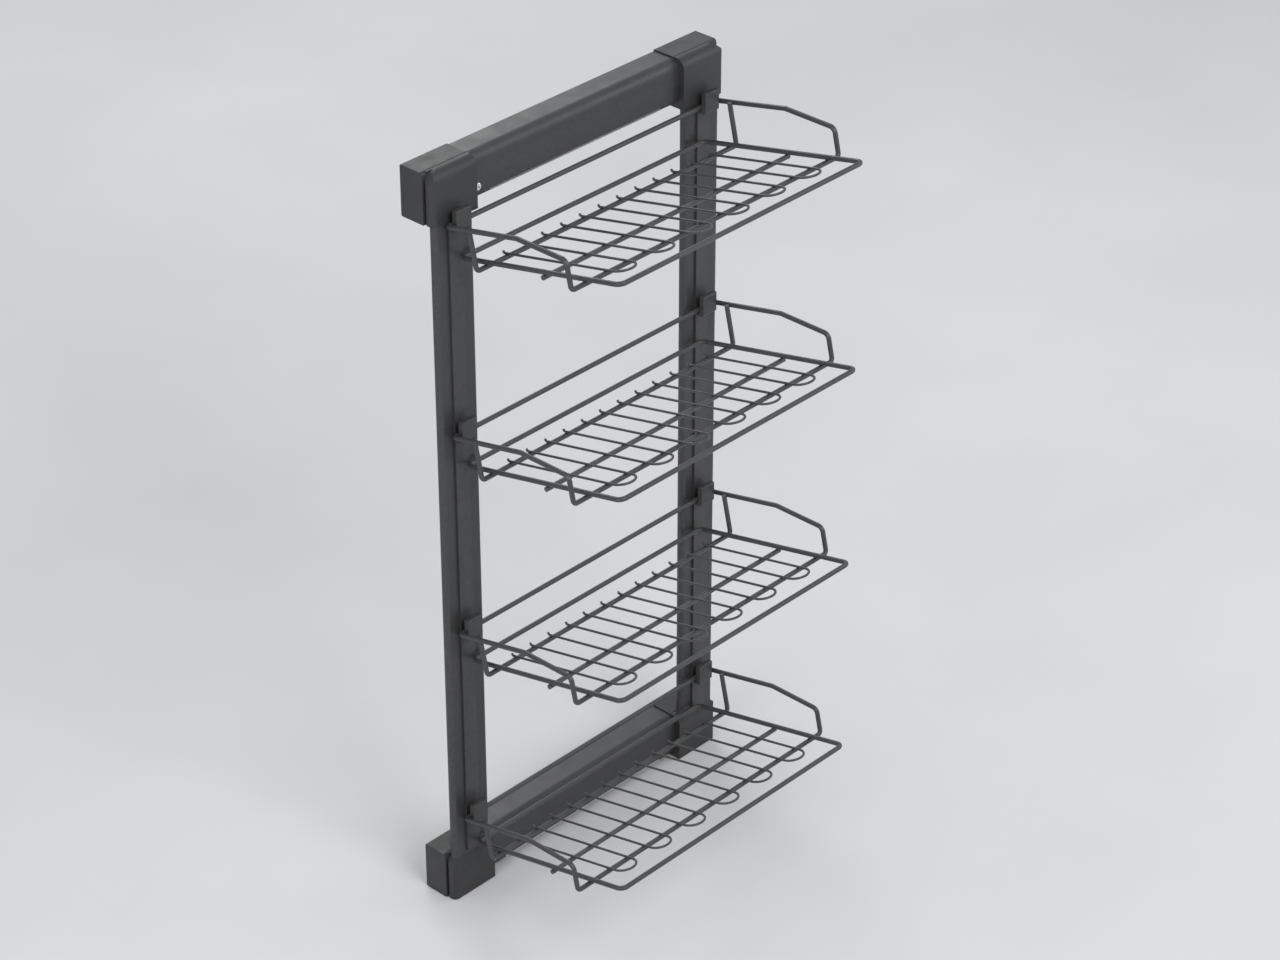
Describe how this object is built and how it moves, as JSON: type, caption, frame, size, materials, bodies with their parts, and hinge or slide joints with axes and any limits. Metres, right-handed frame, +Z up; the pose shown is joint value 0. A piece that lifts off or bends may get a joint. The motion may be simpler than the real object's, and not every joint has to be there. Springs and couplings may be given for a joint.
{
  "type": "pantry cabinet basket rack",
  "caption": "Tall coated steel frame of two flat posts and two crossbars that carries tilted wire baskets on hooks, as the pull-out or door rack of a pantry cabinet.",
  "frame": {"origin": "Centre of the pattern of fixing bolts, on the flat back of the frame.", "axes": "+Z is up along the posts, +Y is out of the back of the frame towards what it is bolted to, -Y is the side the baskets stand out from, X runs along the crossbars."},
  "size_m": [0.48, 0.2985, 0.9944],
  "materials": {
    "frame_coat": "satin",
    "corner_moulding": "satin",
    "wire_coat": "satin",
    "bright_trim": "satin",
    "screw_chrome": "polished"
  },
  "bodies": {
    "frame": {"frame_post_left": "frame_coat", "frame_post_right": "frame_coat", "crossbar_top": "frame_coat", "crossbar_bottom": "frame_coat", "crossbar_trim_top": "bright_trim", "crossbar_trim_bottom": "bright_trim", "corner_piece_top_left": "corner_moulding", "corner_piece_top_right": "corner_moulding", "corner_piece_bottom_left": "corner_moulding", "corner_piece_bottom_right": "corner_moulding", "crossbar_screws": "screw_chrome", "rail_hook_1_left": "frame_coat", "rail_hook_1_right": "frame_coat", "rail_hook_2_left": "frame_coat", "rail_hook_2_right": "frame_coat", "rail_hook_3_left": "frame_coat", "rail_hook_3_right": "frame_coat", "rail_hook_4_left": "frame_coat", "rail_hook_4_right": "frame_coat"},
    "basket_1": {"basket_1_ring": "wire_coat", "basket_1_bail": "wire_coat", "basket_1_rear_support": "wire_coat", "basket_1_middle_support": "wire_coat", "basket_1_slats": "wire_coat"},
    "basket_2": {"basket_2_ring": "wire_coat", "basket_2_bail": "wire_coat", "basket_2_rear_support": "wire_coat", "basket_2_middle_support": "wire_coat", "basket_2_slats": "wire_coat"},
    "basket_3": {"basket_3_ring": "wire_coat", "basket_3_bail": "wire_coat", "basket_3_rear_support": "wire_coat", "basket_3_middle_support": "wire_coat", "basket_3_slats": "wire_coat"},
    "basket_4": {"basket_4_ring": "wire_coat", "basket_4_bail": "wire_coat", "basket_4_rear_support": "wire_coat", "basket_4_middle_support": "wire_coat", "basket_4_slats": "wire_coat"}
  },
  "joints": [
    {"name": "basket_1_lift", "type": "slide", "parent": "frame", "child": "basket_1", "axis": [0, 0, 1], "range_m": [0, 0.03]},
    {"name": "basket_2_lift", "type": "slide", "parent": "frame", "child": "basket_2", "axis": [0, 0, 1], "range_m": [0, 0.03]},
    {"name": "basket_3_lift", "type": "slide", "parent": "frame", "child": "basket_3", "axis": [0, 0, 1], "range_m": [0, 0.03]},
    {"name": "basket_4_lift", "type": "slide", "parent": "frame", "child": "basket_4", "axis": [0, 0, 1], "range_m": [0, 0.03]}
  ]
}
